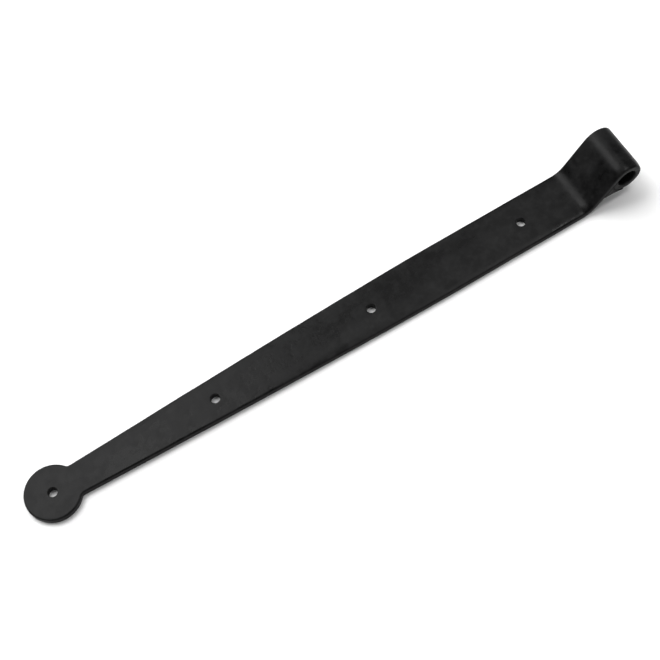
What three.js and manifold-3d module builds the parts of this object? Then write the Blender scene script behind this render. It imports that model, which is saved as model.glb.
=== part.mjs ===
// Strap leaf of a pintle hinge: one bar with a round penny end, a long taper, a crank and a rolled eye,
// and the weld that closes the roll. Millimetres, +Z up.
// The flat back lies on Z = 0, the strap runs along X towards the eye, and the eye's axis is along Y.
import * as THREE from 'three';
import { mergeVertices } from 'three/addons/utils/BufferGeometryUtils.js';
import Module from 'manifold-3d';

const wasm = await Module();
wasm.setup();

// The bar
const barThickness = 5.6;
const barWidth = 38.1; // from the end of the taper to the eye

// The penny end and the taper. X is measured from the penny's centre here.
const pennyRadius = 19.5;
const neckWidth = 22.5;
const neckFillet = 2.5;
const taperMiddle = 222; // where the taper's two end tangents cross
const taperEnd = 304; // where the bar reaches its full width

// The screw holes, on the centre line, the first in the middle of the penny
const holeCount = 4;
const holePitch = 121.5;
const holeRadius = 3.5;

// The crank and the rolled eye
const eyeDistance = 437.7; // from the penny's centre to the eye's axis
const eyeHeight = 22.2; // the eye's axis above the back
const boreRadius = 6.9;
const eyeRadius = boreRadius + barThickness;
const crankAngle = THREE.MathUtils.degToRad(51);
const bendRadius = 12; // the inside of the bend, on the front
const rollSeam = 0.4; // between the end of the roll and the back of the ramp

// The weld in the notch under the eye
const weldSlope = THREE.MathUtils.degToRad(7); // how far its face leans from level
const weldToe = 0.5; // its thickness where it runs out on the eye
const weldGap = 0.3; // clearance to the bar

// Facets
const pennyFacets = 40;
const eyeFacets = 36;
const bendFacets = 8;
const taperFacets = 16;
const filletFacets = 4;
const holeFacets = 20;

const quarterTurn = Math.PI / 2;
const outerReach = pennyRadius + eyeDistance + eyeRadius;
const overshoot = 5; // how far a cutter runs past the face that it cuts
const samePoint = 0.001;

// Directions in the side view, where x is X and y is Z: up the ramp, and out of its front
const rampAngle = quarterTurn + crankAngle;
const rampFront = new THREE.Vector2(Math.cos(rampAngle), Math.sin(rampAngle));
const eyeCentre = new THREE.Vector2(eyeDistance, eyeHeight);

const paintedSteel = { color: 0x1b1b1c, roughness: 0.5, metalness: 0.1 };

function pointOnEye(radius, angle) {
  return new THREE.Vector2(radius, 0).rotateAround(new THREE.Vector2(), angle).add(eyeCentre);
}

// Adds a point to an outline, unless the outline already ends there.
function addPoint(outline, point) {
  const last = outline.at(-1);
  if (!last || last.distanceTo(point) > samePoint) {
    outline.push(point);
  }
}

// Adds an arc to an outline as straight steps, so that its facets are set here and not by the extrusion.
function addArc(outline, centre, radius, from, to, facets) {
  for (let step = 0; step <= facets; step += 1) {
    const angle = from + ((to - from) * step) / facets;
    const x = centre.x + radius * Math.cos(angle);
    const y = centre.y + radius * Math.sin(angle);
    addPoint(outline, new THREE.Vector2(x, y));
  }
}

function toSolid(geometry) {
  geometry.deleteAttribute('normal');
  geometry.deleteAttribute('uv');
  const merged = mergeVertices(geometry);
  return new wasm.Manifold(new wasm.Mesh({
    numProp: 3,
    vertProperties: new Float32Array(merged.attributes.position.array),
    triVerts: new Uint32Array(merged.index.array),
  }));
}

function toGeometry(solid) {
  const mesh = solid.getMesh();
  const geometry = new THREE.BufferGeometry();
  geometry.setAttribute('position', new THREE.BufferAttribute(mesh.vertProperties, mesh.numProp));
  geometry.setIndex(new THREE.BufferAttribute(mesh.triVerts, 1));
  geometry.computeVertexNormals();
  return geometry;
}

// An outline in the side view, drawn in X and Z, extruded across the bar and centred on it.
function extrudeAcross(outline, width) {
  const geometry = new THREE.ExtrudeGeometry(new THREE.Shape(outline), {
    depth: width,
    bevelEnabled: false,
  });
  geometry.rotateX(quarterTurn);
  geometry.translate(0, width / 2, 0);
  return geometry;
}

// The side view of the bar: flat, bent up into the ramp, and rolled round the bore back to the ramp.
function barOutline() {
  const frontTangent = pointOnEye(eyeRadius, rampAngle);
  const frontCorner = frontTangent.x - (frontTangent.y - barThickness) / Math.tan(crankAngle);
  const bendCentre = new THREE.Vector2(
    frontCorner - bendRadius * Math.tan(crankAngle / 2),
    barThickness + bendRadius,
  );
  const bendStart = -quarterTurn;
  const bendEnd = bendStart + crankAngle;
  const rollEndInner = Math.acos((boreRadius - rollSeam) / boreRadius);
  const rollEndOuter = Math.acos((boreRadius - rollSeam) / eyeRadius);
  const fullTurn = 2 * Math.PI;
  const startX = -pennyRadius - overshoot;

  const outline = [new THREE.Vector2(startX, 0)];
  addArc(outline, bendCentre, bendRadius + barThickness, bendStart, bendEnd, bendFacets);
  addArc(outline, eyeCentre, boreRadius, rampAngle, rampAngle + rollEndInner - fullTurn, eyeFacets);
  addArc(outline, eyeCentre, eyeRadius, rampAngle + rollEndOuter, rampAngle + fullTurn, eyeFacets);
  addArc(outline, bendCentre, bendRadius, bendEnd, bendStart, bendFacets);
  outline.push(new THREE.Vector2(startX, barThickness));
  return outline;
}

// One side of the plan: the penny's edge, the neck fillet, the taper and the parallel bar.
function planEdge() {
  const neckHalf = neckWidth / 2;
  const barHalf = barWidth / 2;
  const reach = pennyRadius + neckFillet;
  const filletX = Math.sqrt(reach ** 2 - (neckHalf + neckFillet) ** 2);
  const filletCentre = new THREE.Vector2(filletX, neckHalf + neckFillet);
  const taperAngle = Math.atan((barHalf - neckHalf) / (taperMiddle - filletX));
  const pennyAngle = Math.atan2(filletCentre.y, filletCentre.x);

  const edge = [];
  addArc(edge, new THREE.Vector2(), pennyRadius, Math.PI, pennyAngle, pennyFacets / 2);
  addArc(edge, filletCentre, neckFillet, pennyAngle - Math.PI, taperAngle - quarterTurn, filletFacets);
  const taper = new THREE.QuadraticBezierCurve(
    edge.pop(),
    new THREE.Vector2(taperMiddle, barHalf),
    new THREE.Vector2(taperEnd, barHalf),
  );
  edge.push(...taper.getPoints(taperFacets));
  edge.push(new THREE.Vector2(outerReach, barHalf));
  return edge;
}

function planSolid() {
  const upper = planEdge();
  const lower = upper.slice(1).map((point) => new THREE.Vector2(point.x, -point.y)).reverse();
  const geometry = new THREE.ExtrudeGeometry(new THREE.Shape([...upper, ...lower]), {
    depth: eyeHeight + eyeRadius + 2 * overshoot,
    bevelEnabled: false,
  });
  geometry.translate(0, 0, -overshoot);
  return toSolid(geometry);
}

function holeSolid(index) {
  const geometry = new THREE.CylinderGeometry(
    holeRadius,
    holeRadius,
    barThickness + 2 * overshoot,
    holeFacets,
  );
  geometry.rotateX(quarterTurn);
  geometry.translate(index * holePitch, 0, barThickness / 2);
  return toSolid(geometry);
}

function strapLeaf() {
  let solid = toSolid(extrudeAcross(barOutline(), barWidth + 2 * overshoot)).intersect(planSolid());
  for (let index = 0; index < holeCount; index += 1) {
    solid = solid.subtract(holeSolid(index));
  }
  return toGeometry(solid);
}

// The weld's section: a face that leaves the eye's underside on a tangent and meets the ramp's back,
// the side along the ramp, and the side round the eye.
function eyeWeld() {
  const seat = eyeRadius + weldGap;
  const rampSide = boreRadius - weldGap;
  const faceAngle = -quarterTurn - weldSlope;
  const alongFace = new THREE.Vector2(-Math.cos(weldSlope), Math.sin(weldSlope));
  const faceStart = pointOnEye(eyeRadius, faceAngle);
  const toeRun = Math.sqrt((seat + weldToe) ** 2 - eyeRadius ** 2);
  const toRamp = rampSide - faceStart.clone().sub(eyeCentre).dot(rampFront);
  const faceRun = toRamp / alongFace.dot(rampFront);
  const rootAngle = rampAngle + Math.acos(rampSide / seat);
  const toeAngle = 2 * Math.PI + faceAngle - Math.atan(toeRun / eyeRadius);

  const outline = [
    faceStart.clone().addScaledVector(alongFace, toeRun),
    faceStart.clone().addScaledVector(alongFace, faceRun),
  ];
  addArc(outline, eyeCentre, seat, rootAngle, toeAngle, bendFacets);
  return extrudeAcross(outline, barWidth);
}

const hinge = new THREE.Group();
hinge.position.x = (pennyRadius - eyeDistance - eyeRadius) / 2; // the origin is below the middle

function addPiece(name, geometry) {
  const piece = new THREE.Mesh(geometry, new THREE.MeshStandardMaterial(paintedSteel));
  piece.name = name;
  hinge.add(piece);
}

addPiece('strap_leaf', strapLeaf());
addPiece('eye_weld', eyeWeld());

export default hinge;
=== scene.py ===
import math
import bmesh
import bpy
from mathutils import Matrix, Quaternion, Vector, noise


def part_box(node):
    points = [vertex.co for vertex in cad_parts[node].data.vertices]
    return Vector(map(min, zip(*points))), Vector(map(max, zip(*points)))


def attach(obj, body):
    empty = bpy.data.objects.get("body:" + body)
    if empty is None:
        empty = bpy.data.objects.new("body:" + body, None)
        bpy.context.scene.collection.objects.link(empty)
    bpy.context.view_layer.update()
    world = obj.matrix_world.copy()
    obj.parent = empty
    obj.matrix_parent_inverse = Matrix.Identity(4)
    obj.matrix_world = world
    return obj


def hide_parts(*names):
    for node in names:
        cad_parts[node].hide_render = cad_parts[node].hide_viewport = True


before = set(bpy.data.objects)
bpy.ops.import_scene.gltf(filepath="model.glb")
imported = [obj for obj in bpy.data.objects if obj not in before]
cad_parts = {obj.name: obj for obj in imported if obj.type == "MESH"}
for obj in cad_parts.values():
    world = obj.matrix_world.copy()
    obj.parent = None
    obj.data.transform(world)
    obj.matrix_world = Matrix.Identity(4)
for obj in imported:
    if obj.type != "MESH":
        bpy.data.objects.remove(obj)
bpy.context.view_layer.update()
print("frame loaded:", len(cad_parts), "nodes")

# Everything is in metres. The bar is first made flat, with its developed length along X from the penny's
# centre, and then bent into the crank and rolled into the eye.
bar = {
    "thickness": 0.0056,
    "width": 0.0381,
    "neckWidth": 0.0225,
    "neckFillet": 0.0025,
    "taperMiddle": 0.222,  # where the taper's two end tangents cross
    "taperEnd": 0.304,
    "holeCount": 4,  # the first one is in the middle of the penny
    "holeRadius": 0.0033,
    "holePitch": 0.1215,
    "crankAngle": math.radians(51),
    "bendRadius": 0.012,  # inside the bend, on the front
    "boreRadius": 0.0069,
    "rollSeam": 0.00012,  # between the end of the roll and the back of the ramp
    "rollSlant": 4,  # the power with which the roll's end comes to lie along the ramp
    "rows": 20,  # cells across the strap
    "cell": 0.0019,  # length of a cell along the strap
    "fewestCells": 3,  # between two marks along the strap
    "pennySteps": 92,
    "pennyRings": 11,
    "arcRelax": 0.025,  # length over which the columns straighten after the penny
    "rimCells": 2,  # from the middle of a hole to its rim
    "guideReach": 1.5,  # where the points round a rim are drawn to, in rim radii
    "guidePull": 0.6,  # how much of the way they go
    "sideNormal": 0.5,  # a face is a side where its normal's Z is less than this
    "rimReach": 1.2,  # how far from a hole's middle an edge still belongs to its rim, in hole radii
    "slack": 0.00019,  # when edges are picked by their place
    "edgeRound": 0.0009,
    "holeRound": 0.0002,
    "roundSteps": 2,
    "dentDepth": 0.00030,  # shallow hammer dents in the front
    "dents": ((0.6, 45, 3), (0.4, 120, 8)),  # the share, scale and seed of each layer
    "edgeWave": 0.00030,  # how far the long edges wander
    "waves": ((0.6, 30, 5), (0.4, 95, 1)),
    "waveFrom": 1.5,  # how far from the centre line the waves begin, in hole radii
    "sideApart": 0.5,  # keeps the waves of the two edges unlike
    "faceApart": 0.01,  # keeps the waves of the back and the front slightly unlike
    # how the front falls towards its long edges
    "fall": {
        "width": 0.0050,
        "near": 0.00085,
        "far": 0.00028,
        "farFade": 0.6,  # what the far edge has lost of it beside the eye
        "power": 1.4,
    },
}

# The outside sizes come from the frame.
leafLow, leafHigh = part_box("strap_leaf")
bar["pennyRadius"] = leafHigh.y
bar["eyeRadius"] = bar["boreRadius"] + bar["thickness"]
pennyCentre = Vector((leafLow.x + bar["pennyRadius"], 0, leafLow.z))
eyeCentre = Vector((leafHigh.x - bar["eyeRadius"], 0, leafHigh.z - bar["eyeRadius"])) - pennyCentre


def rollLack(radius):
    # the angle by which the roll falls short of a full turn, at this radius from the eye's axis
    return math.acos((bar["boreRadius"] - bar["rollSeam"]) / radius)


def bendLayout():
    # where the flat bar starts to bend, ramp, roll and end, as developed lengths along its middle
    angle = bar["crankAngle"]
    thick = bar["thickness"]
    tangentX = eyeCentre.x - bar["eyeRadius"] * math.sin(angle)
    tangentZ = eyeCentre.z + bar["eyeRadius"] * math.cos(angle)
    cornerX = tangentX - (tangentZ - thick) / math.tan(angle)
    tangentRun = bar["bendRadius"] * math.tan(angle / 2)
    rampLength = (tangentZ - thick) / math.sin(angle) - tangentRun
    outerSweep = math.tau - rollLack(bar["eyeRadius"])
    layout = {"centre": Vector((cornerX - tangentRun, 0, thick + bar["bendRadius"]))}
    layout["bendStart"] = layout["centre"].x
    layout["rampStart"] = layout["bendStart"] + (bar["bendRadius"] + thick / 2) * angle
    layout["rollStart"] = layout["rampStart"] + rampLength
    layout["rollEnd"] = layout["rollStart"] + (bar["eyeRadius"] - thick / 2) * outerSweep
    layout["outerSweep"] = outerSweep
    return layout


def bendPoint(point, layout):
    # from the flat bar to the bent one
    angle = bar["crankAngle"]
    along, height = point.x, point.z
    if along <= layout["bendStart"]:
        return point
    if along <= layout["rampStart"]:
        share = (along - layout["bendStart"]) / (layout["rampStart"] - layout["bendStart"])
        turn = share * angle
        radius = bar["bendRadius"] + bar["thickness"] - height
        centre = layout["centre"]
        return Vector((centre.x + radius * math.sin(turn), point.y, centre.z - radius * math.cos(turn)))
    fromBore = bar["boreRadius"] + height
    if along <= layout["rollStart"]:
        turn = angle
        back = layout["rollStart"] - along
    else:
        share = (along - layout["rollStart"]) / (layout["rollEnd"] - layout["rollStart"])
        fullSweep = math.tau - rollLack(fromBore)
        slant = share ** bar["rollSlant"] * (fullSweep - layout["outerSweep"])
        turn = angle - share * layout["outerSweep"] - slant
        back = 0
    x = eyeCentre.x - fromBore * math.sin(turn) - back * math.cos(turn)
    z = eyeCentre.z + fromBore * math.cos(turn) - back * math.sin(turn)
    return Vector((x, point.y, z))


def planLayout():
    # the neck fillet's centre and the angle on the penny where it starts
    reach = bar["pennyRadius"] + bar["neckFillet"]
    filletY = bar["neckWidth"] / 2 + bar["neckFillet"]
    filletX = math.sqrt(reach ** 2 - filletY ** 2)
    return {"filletX": filletX, "filletY": filletY, "pennyAngle": math.atan2(filletY, filletX)}


def halfWidth(x, plan):
    # half the width of the bar at a distance from the penny's centre, past the penny
    neck, full = bar["neckWidth"] / 2, bar["width"] / 2
    start, middle, end = plan["filletX"], bar["taperMiddle"], bar["taperEnd"]
    if x < start:
        return plan["filletY"] - math.sqrt(bar["neckFillet"] ** 2 - (x - start) ** 2)
    if x >= end:
        return full
    # X along a quadratic curve from the neck to the full width, solved for its parameter
    square = start - 2 * middle + end
    linear = 2 * (middle - start)
    share = (math.sqrt(linear * linear + 4 * square * (x - start)) - linear) / (2 * square)
    return (1 - share) ** 2 * neck + (1 - (1 - share) ** 2) * full


def newVerts(grown):
    return [item for item in grown["geom"] if isinstance(item, bmesh.types.BMVert)]


def growEdges(bm, edges):
    # extrudes a chain of edges and gives back the new vertices and the new chain
    grown = bmesh.ops.extrude_edge_only(bm, edges=edges)
    verts = newVerts(grown)
    fresh = set(verts)
    chain = [edge for edge in bm.edges if edge.verts[0] in fresh and edge.verts[1] in fresh]
    return verts, chain


def growPenny(bm, plan):
    # rings from the first hole's rim out to the penny's edge. Gives back the edges that the strap grows from.
    made = bmesh.ops.create_circle(bm, segments=bar["pennySteps"], radius=bar["holeRadius"])
    evenRoot = bar["rows"] * math.pi / bar["pennySteps"]
    for vert in made["verts"]:
        turn = math.atan2(vert.co.y, vert.co.x)
        if abs(turn) <= evenRoot:
            turn *= plan["pennyAngle"] / evenRoot
        else:
            past = (abs(turn) - evenRoot) / (math.pi - evenRoot)
            turn = math.copysign(plan["pennyAngle"] + past * (math.pi - plan["pennyAngle"]), turn)
        vert.co = Vector((math.cos(turn), math.sin(turn), 0)) * bar["holeRadius"]
    chain = bm.edges[:]
    for ring in range(1, bar["pennyRings"] + 1):
        share = ring / bar["pennyRings"]
        radius = bar["holeRadius"] + share * (bar["pennyRadius"] - bar["holeRadius"])
        verts, chain = growEdges(bm, chain)
        for vert in verts:
            vert.co = vert.co.normalized() * radius
    limit = bar["pennyRadius"] * math.cos(plan["pennyAngle"]) - bar["slack"]
    return [edge for edge in chain if min(vert.co.x for vert in edge.verts) > limit]


def stations(plan, layout):
    # where the columns of cells stand, with one on each hole and on each change of curvature
    start = bar["pennyRadius"] * math.cos(plan["pennyAngle"])
    marks = [start, plan["filletX"]]
    marks += [bar["holePitch"] * count for count in range(1, bar["holeCount"])]
    marks += [layout[name] for name in ("bendStart", "rampStart", "rollStart", "rollEnd")]
    places = [start]
    for low, high in zip(marks, marks[1:]):
        steps = max(bar["fewestCells"], round((high - low) / bar["cell"]))
        places += [low + (high - low) * step / steps for step in range(1, steps + 1)]
    return places


def growStrap(bm, root, plan, layout):
    # columns of cells from the penny's edge to the end of the roll, curved like that edge at first
    places = stations(plan, layout)
    bulge = bar["pennyRadius"] - places[0]
    columns = [sorted({vert for edge in root for vert in edge.verts}, key=lambda vert: vert.co.y)]
    chain = root
    for place in places[1:]:
        verts, chain = growEdges(bm, chain)
        verts.sort(key=lambda vert: vert.co.y)
        relax = max(0, 1 - (place - places[0]) / bar["arcRelax"])
        for row, vert in enumerate(verts):
            share = 2 * row / bar["rows"] - 1
            vert.co.x = place + bulge * relax * (1 - share ** 2)
            vert.co.y = share * halfWidth(place, plan)
        columns.append(verts)
    return places, columns


def turnOnRing(stepX, stepY):
    # the angle at which a point of a square ring of cells comes to stand on a circle
    ring = max(abs(stepX), abs(stepY))
    if abs(stepX) == ring:
        turn = stepY / ring * math.pi / 4
        return turn if stepX > 0 else math.pi - turn
    turn = math.pi / 2 - stepX / ring * math.pi / 4
    return turn if stepY > 0 else -turn


def openHoles(bm, places, columns):
    # a block of cells round each hole is rounded off, and the cells inside it are taken out
    middle = bar["rows"] // 2
    rim = bar["rimCells"]
    steps = range(-rim - 1, rim + 2)
    # Subdivision leaves four sixths of a point and one sixth of each of its neighbours on the rim.
    rimRadius = bar["holeRadius"] * 6 / (4 + 2 * math.cos(math.tau / (8 * rim)))
    goals = {rim: (rimRadius, 1), rim + 1: (rimRadius * bar["guideReach"], bar["guidePull"])}
    doomed = []
    for count in range(1, bar["holeCount"]):
        holeX = bar["holePitch"] * count
        column = min(range(len(places)), key=lambda index: abs(places[index] - holeX))
        for stepX in steps:
            for stepY in steps:
                vert = columns[column + stepX][middle + stepY]
                ring = max(abs(stepX), abs(stepY))
                if ring < rim:
                    doomed.append(vert)
                    continue
                turn = turnOnRing(stepX, stepY)
                radius, pull = goals[ring]
                goal = Vector((holeX + radius * math.cos(turn), radius * math.sin(turn), 0))
                vert.co = vert.co.lerp(goal, pull)
    bmesh.ops.delete(bm, geom=doomed, context="VERTS")


def thicken(bm):
    bmesh.ops.recalc_face_normals(bm, faces=bm.faces)
    grown = bmesh.ops.extrude_face_region(bm, geom=bm.faces[:])
    bmesh.ops.translate(bm, verts=newVerts(grown), vec=(0, 0, bar["thickness"]))
    bmesh.ops.recalc_face_normals(bm, faces=bm.faces)


def roundRims(bm, layout):
    # softens the edges of the bar and, more finely, the rims of the holes
    rims, holeRims = [], []
    for edge in bm.edges:
        sides = [abs(face.normal.z) < bar["sideNormal"] for face in edge.link_faces]
        middle = (edge.verts[0].co + edge.verts[1].co) / 2
        if sum(sides) != 1 or middle.x > layout["rollEnd"] - bar["slack"]:
            continue
        nearest = bar["holePitch"] * max(0, round(middle.x / bar["holePitch"]))
        reach = math.hypot(middle.x - nearest, middle.y)
        (holeRims if reach < bar["holeRadius"] * bar["rimReach"] else rims).append(edge)
    for edges, size in ((rims, "edgeRound"), (holeRims, "holeRound")):
        bmesh.ops.bevel(bm, geom=edges, offset=bar[size], offset_type="OFFSET", segments=bar["roundSteps"],
                        profile=0.5, affect="EDGES", material=-1)


def wander(place, layers):
    # layers of smooth noise from 0 to 1, each with its share, scale and seed
    total = 0
    for share, scale, seed in layers:
        total += share * (0.5 + 0.5 * noise.noise(place * scale + Vector((seed, 0, 0))))
    return total


def fallAt(place, plan):
    # how much the front falls here towards the long edges: most on the near edge beside the eye,
    # and on the far edge beside the penny
    fall = bar["fall"]
    if place.x < plan["filletX"]:
        return 0
    inside = halfWidth(place.x, plan) - abs(place.y)
    share = min(1, max(0, 1 - inside / fall["width"]))
    along = min(1, max(0, (place.x - bar["holePitch"]) / bar["holePitch"]))
    along = along * along * (3 - 2 * along)  # an even change between the second hole and the third
    depth = fall["near"] * along if place.y < 0 else fall["far"] * (1 - fall["farFade"] * along)
    return depth * share ** fall["power"]


def handFinish(bm, plan):
    # shallow dents in the front and slightly wandering edges, both only ever taken off the bar
    for vert in bm.verts:
        place = vert.co.copy()
        raised = place.z / bar["thickness"]
        dents = wander(place, bar["dents"]) * bar["dentDepth"]
        vert.co.z -= raised * (dents + fallAt(place, plan))
        beyond = abs(place.y) > bar["holeRadius"] * bar["waveFrom"]
        side = math.copysign(1, place.y) if beyond else 0
        edge = Vector((place.x, side * bar["sideApart"], raised * bar["faceApart"]))
        outward = min(1, abs(place.y) / (bar["neckWidth"] / 2))
        vert.co.y -= side * outward * wander(edge, bar["waves"]) * bar["edgeWave"]


def asPiece(bm, name, subdivisions):
    bmesh.ops.recalc_face_normals(bm, faces=bm.faces)
    for face in bm.faces:
        face.smooth = True
    mesh = bpy.data.meshes.new(name)
    bm.to_mesh(mesh)
    bm.free()
    piece = bpy.data.objects.new(name, mesh)
    bpy.context.collection.objects.link(piece)
    if subdivisions:
        smoother = piece.modifiers.new("smooth", "SUBSURF")
        smoother.levels = smoother.render_levels = subdivisions
    return piece


def makeLeaf():
    plan, layout = planLayout(), bendLayout()
    bm = bmesh.new()
    root = growPenny(bm, plan)
    places, columns = growStrap(bm, root, plan, layout)
    openHoles(bm, places, columns)
    thicken(bm)
    roundRims(bm, layout)
    handFinish(bm, plan)
    for vert in bm.verts:
        vert.co = bendPoint(vert.co, layout) + pennyCentre
    return asPiece(bm, "strapLeaf", 1)


leaf = makeLeaf()
print("strap leaf:", len(leaf.data.polygons), "faces before subdivision")

# The bead lies in the notch between the underside of the eye and the back of the ramp.
weld = {
    "slope": math.radians(7),  # how far the face leans from level where it leaves the eye
    "hollow": 0.0005,  # how far the middle of the face stands back
    "bite": 0.001,  # how far it runs into the bar
    "endInset": 0.00012,
    "endRound": 0.0007,
    "endSteps": 3,
    "steps": 40,  # along the bead
    "facePoints": 9,
    "seatSteps": 6,  # round the eye
    "rippleHeight": 0.00022,
    "ripples": ((1, 260, 4),),  # share, scale and seed
    "slack": 1e-6,  # when the ends are picked by their place
}


def weldSection():
    # the outline across the bead: its face, the side in the ramp, the closed seam, and the side in the eye
    angle = bar["crankAngle"]
    rampFront = Vector((-math.sin(angle), 0, math.cos(angle)))
    rampUp = Vector((math.cos(angle), 0, math.sin(angle)))
    faceTurn = -math.pi / 2 - weld["slope"]
    faceStart = eyeCentre + bar["eyeRadius"] * Vector((math.cos(faceTurn), 0, math.sin(faceTurn)))
    faceWay = Vector((-math.cos(weld["slope"]), 0, math.sin(weld["slope"])))
    faceUp = Vector((math.sin(weld["slope"]), 0, math.cos(weld["slope"])))
    run = (bar["boreRadius"] - (faceStart - eyeCentre).dot(rampFront)) / faceWay.dot(rampFront)

    def inRamp(depth, drop):
        # a point this deep in the ramp's back and this far below the foot of the eye's centre on it
        return eyeCentre + rampFront * (bar["boreRadius"] + depth) - rampUp * drop

    points = []
    for step in range(weld["facePoints"] + 1):
        share = step / weld["facePoints"]
        hollow = weld["hollow"] * math.sin(math.pi * share) ** 2
        points.append(faceStart + faceWay * run * share + faceUp * hollow)
    corner = (points[-1] - eyeCentre).dot(rampUp)
    bite = weld["bite"]
    innerSeam = math.sqrt(bar["boreRadius"] ** 2 - (bar["boreRadius"] - bite) ** 2) + bite / 2
    points.append(inRamp(bite, -corner - bite / 2))
    points.append(inRamp(bite, innerSeam))
    points.append(inRamp(-bite, innerSeam))
    seat = bar["eyeRadius"] - bite
    rootTurn = math.pi / 2 + angle + math.acos((bar["boreRadius"] - bite) / seat)
    endTurn = math.tau + faceTurn
    for step in range(weld["seatSteps"] + 1):
        turn = rootTurn + (endTurn - rootTurn) * step / weld["seatSteps"]
        points.append(eyeCentre + seat * Vector((math.cos(turn), 0, math.sin(turn))))
    return points


def isEndEdge(edge, half):
    # whether the edge lies on one of the bead's two ends
    first, second = (vert.co.y for vert in edge.verts)
    return abs(abs(first) - half) < weld["slack"] and abs(second - first) < weld["slack"]


def makeWeld():
    half = bar["width"] / 2 - weld["endInset"]
    bm = bmesh.new()
    outline = [bm.verts.new(Vector((point.x, -half, point.z))) for point in weldSection()]
    face = bm.faces.new(outline)
    for step in range(weld["steps"]):
        grown = bmesh.ops.extrude_face_region(bm, geom=[face])
        bmesh.ops.translate(bm, verts=newVerts(grown), vec=(0, 2 * half / weld["steps"], 0))
        face = next(item for item in grown["geom"] if isinstance(item, bmesh.types.BMFace))
    ends = [edge for edge in bm.edges if isEndEdge(edge, half)]
    bmesh.ops.bevel(bm, geom=ends, offset=weld["endRound"], offset_type="OFFSET", segments=weld["endSteps"],
                    profile=0.5, affect="EDGES", material=-1, clamp_overlap=True)
    for vert in bm.verts:
        vert.co.z += weld["rippleHeight"] * wander(vert.co, weld["ripples"])
        vert.co += pennyCentre
    return asPiece(bm, "eyeWeld", 0)


bead = makeWeld()
print("eye weld:", len(bead.data.polygons), "faces")

# the numbers of a Mix node's colour sockets, which share their names with other ones
mixSockets = {"share": 0, "first": 6, "second": 7, "result": 2}


class Wire:
    # a node's output that sums and products can be written with
    def __init__(self, finish, socket):
        self.finish = finish
        self.socket = socket

    def combine(self, operation, other):
        return self.finish.node("ShaderNodeMath", {"operation": operation}, {0: self, 1: other})

    def __add__(self, other):
        return self.combine("ADD", other)

    def __mul__(self, other):
        return self.combine("MULTIPLY", other)

    __radd__ = __add__
    __rmul__ = __mul__


class Finish:
    # the nodes of one material, or of the world
    def __init__(self, tree):
        self.tree = tree
        tree.nodes.clear()

    def node(self, kind, settings, sockets, output=0):
        made = self.tree.nodes.new(kind)
        for name, value in settings.items():
            if name == "stops":
                for element, (place, level) in zip(made.color_ramp.elements, value):
                    element.position = place
                    element.color = (level, level, level, 1)
            else:
                setattr(made, name, value)
        for name, value in sockets.items():
            if isinstance(value, Wire):
                self.tree.links.new(value.socket, made.inputs[name])
            else:
                made.inputs[name].default_value = value
        return Wire(self, made.outputs[output])

    def speckle(self, place, scale, detail):
        return self.node("ShaderNodeTexNoise", {}, {"Vector": place, "Scale": scale, "Detail": detail})

    def cloud(self, place, scale, detail, low, high):
        # noise stretched to run from 0 to 1 between two of its levels
        level = self.speckle(place, scale, detail)
        return self.node("ShaderNodeValToRGB", {"stops": ((low, 0), (high, 1))}, {"Fac": level})

    def blend(self, share, first, second):
        sockets = {mixSockets["share"]: share, mixSockets["first"]: first, mixSockets["second"]: second}
        return self.node("ShaderNodeMix", {"data_type": "RGBA"}, sockets, mixSockets["result"])

    def close(self, shader, kind="ShaderNodeOutputMaterial"):
        end = self.tree.nodes.new(kind)
        self.tree.links.new(shader.socket, end.inputs["Surface"])


def newMaterial(name):
    material = bpy.data.materials.new(name)
    material.use_nodes = True
    return material, Finish(material.node_tree)


coat = {
    "deep": (0.0004, 0.0004, 0.0005, 1),
    "dusty": (0.0160, 0.0160, 0.0162, 1),
    "sheen": 0.17,
    "stretch": (0.35, 1, 1),  # draws the broad clouds out along the strap
    # scale, detail, and the two levels that become 0 and 1
    "broad": (30, 4, 0.42, 0.60),
    "mottle": (95, 5, 0.42, 0.60),
    "smear": (230, 6, 0.48, 0.64),
    # scale and detail
    "peel": (750, 2),
    "grain": (3200, 2),
    # how much of each goes into the dust, the roughness and the height
    "dust": {"broad": 0.42, "mottle": 0.33, "smear": 0.25},
    "leastRoughness": 0.20,
    "roughness": {"broad": 0.09, "mottle": 0.09, "smear": 0.08, "grain": 0.05},
    "relief": {"peel": 0.75, "grain": 0.25, "mottle": 1.5},
    "reliefHeight": 0.00006,
    "reliefStrength": 0.6,
}


def weighted(layers, shares, start=0):
    return sum((share * layers[name] for name, share in shares.items()), start)


def blackCoat():
    material, finish = newMaterial("blackCoat")
    place = finish.node("ShaderNodeTexCoord", {}, {}, "Object")
    along = finish.node("ShaderNodeMapping", {}, {"Vector": place, "Scale": coat["stretch"]})
    layers = {
        "broad": finish.cloud(along, *coat["broad"]),
        "mottle": finish.cloud(place, *coat["mottle"]),
        "smear": finish.cloud(place, *coat["smear"]),
        "peel": finish.speckle(place, *coat["peel"]),
        "grain": finish.speckle(place, *coat["grain"]),
    }
    normal = finish.node("ShaderNodeBump", {}, {
        "Strength": coat["reliefStrength"],
        "Distance": coat["reliefHeight"],
        "Height": weighted(layers, coat["relief"]),
    })
    shader = finish.node("ShaderNodeBsdfPrincipled", {}, {
        "Base Color": finish.blend(weighted(layers, coat["dust"]), coat["deep"], coat["dusty"]),
        "Roughness": weighted(layers, coat["roughness"], coat["leastRoughness"]),
        "Specular IOR Level": coat["sheen"],
        "Normal": normal,
    })
    finish.close(shader)
    return material


coatMaterial = blackCoat()
for piece, node in ((leaf, "strap_leaf"), (bead, "eye_weld")):
    piece.data.materials.append(coatMaterial)
    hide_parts(node)
    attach(piece, "root")
print("coat applied")

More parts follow.
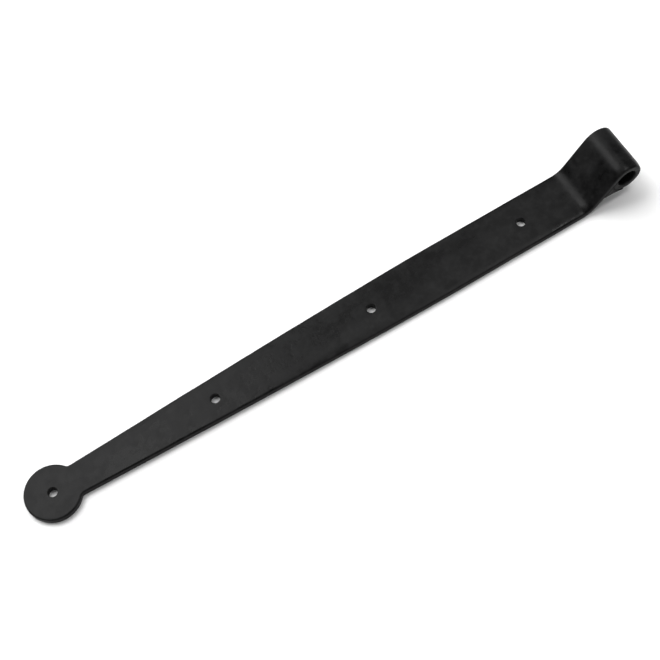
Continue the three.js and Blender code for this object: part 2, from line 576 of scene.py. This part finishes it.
studio = {
    "floorSize": 40,
    "floorColour": (0.78, 0.78, 0.78, 1),
    "floorRoughness": 0.9,
    "shade": 0.25,  # what the sky gives from every side
    "glows": (
        # direction, strength, tightness
        ((-0.29, 0.77, 0.56), 4.90, 12),
        ((-0.16, 0.93, 0.34), 0.80, 11),
        ((0.05, 0.40, 0.91), 0.40, 6),
        ((0.80, 0.37, 0.47), 0.60, 8),
        ((0.20, -0.90, 0.38), 1.00, 6),
    ),
    "panels": (
        # name, place, aim, width, depth, power
        ("left", (-0.340, 0.355, 0.889), (-0.31, 0, 0), 0.82, 0.34, 3.35),
        ("middle", (0.340, 0.370, 0.889), (0.20, 0, 0), 0.50, 0.40, 0.62),
        ("right", (0.414, -0.097, 0.950), (0.10, 0, 0), 0.20, 0.20, 1.60),
    ),
    "exposure": 0.50,  # in stops
    "gamma": 0.8,  # below 1 it deepens the dark tones
}


def makeFloor():
    bm = bmesh.new()
    bmesh.ops.create_grid(bm, x_segments=1, y_segments=1, size=studio["floorSize"] / 2)
    floor = asPiece(bm, "floor", 0)
    material, finish = newMaterial("paleFloor")
    finish.close(finish.node("ShaderNodeBsdfPrincipled", {}, {
        "Base Color": studio["floorColour"],
        "Roughness": studio["floorRoughness"],
    }))
    floor.data.materials.append(material)


def makePanel(name, place, aim, width, depth, power):
    data = bpy.data.lights.new(name, "AREA")
    data.shape = "RECTANGLE"
    data.size = width
    data.size_y = depth
    data.energy = power
    light = bpy.data.objects.new(name, data)
    light.location = place
    light.visible_camera = False
    light.rotation_mode = "QUATERNION"
    light.rotation_quaternion = (Vector(aim) - Vector(place)).to_track_quat("-Z", "Y")
    bpy.context.collection.objects.link(light)


def makeWorld():
    # a soft sky that is brighter from a few sides
    world = bpy.data.worlds.new("studio")
    world.use_nodes = True
    finish = Finish(world.node_tree)
    way = finish.node("ShaderNodeTexCoord", {}, {}, "Generated")
    level = studio["shade"]
    for direction, strength, tightness in studio["glows"]:
        facing = finish.node("ShaderNodeVectorMath", {"operation": "DOT_PRODUCT"}, {
            0: way, 1: Vector(direction).normalized()}, "Value")
        positive = finish.node("ShaderNodeMath", {"operation": "MAXIMUM"}, {0: facing, 1: 0})
        glow = finish.node("ShaderNodeMath", {"operation": "POWER"}, {0: positive, 1: tightness})
        level = strength * glow + level
    finish.close(finish.node("ShaderNodeBackground", {}, {"Strength": level}), "ShaderNodeOutputWorld")
    bpy.context.scene.world = world


def setTones():
    tones = bpy.context.scene.view_settings
    tones.view_transform = "Standard"
    tones.exposure = studio["exposure"]
    tones.gamma = studio["gamma"]


makeFloor()
makeWorld()
for panel in studio["panels"]:
    makePanel(*panel)
setTones()
print("floor and lights placed")

view = {
    "aim": (-0.0041, 0.0013, 0.0056),
    "distance": 0.977,
    "azimuth": math.radians(-22.43),
    "elevation": math.radians(64.41),
    "roll": math.radians(-9.55),
    "lens": 79.25,  # this and the sensor in millimetres
    "sensor": 36,
}


def makeCamera():
    turn, rise = view["azimuth"], view["elevation"]
    back = Vector((math.sin(turn) * math.cos(rise), -math.cos(turn) * math.cos(rise), math.sin(rise)))
    data = bpy.data.cameras.new("camera")
    data.lens = view["lens"]
    data.sensor_width = view["sensor"]
    camera = bpy.data.objects.new("camera", data)
    camera.location = Vector(view["aim"]) + back * view["distance"]
    camera.rotation_mode = "QUATERNION"
    camera.rotation_quaternion = (-back).to_track_quat("-Z", "Y") @ Quaternion((0, 0, 1), view["roll"])
    bpy.context.collection.objects.link(camera)
    bpy.context.scene.camera = camera


makeCamera()
print("camera placed")

bpy.context.view_layer.update()
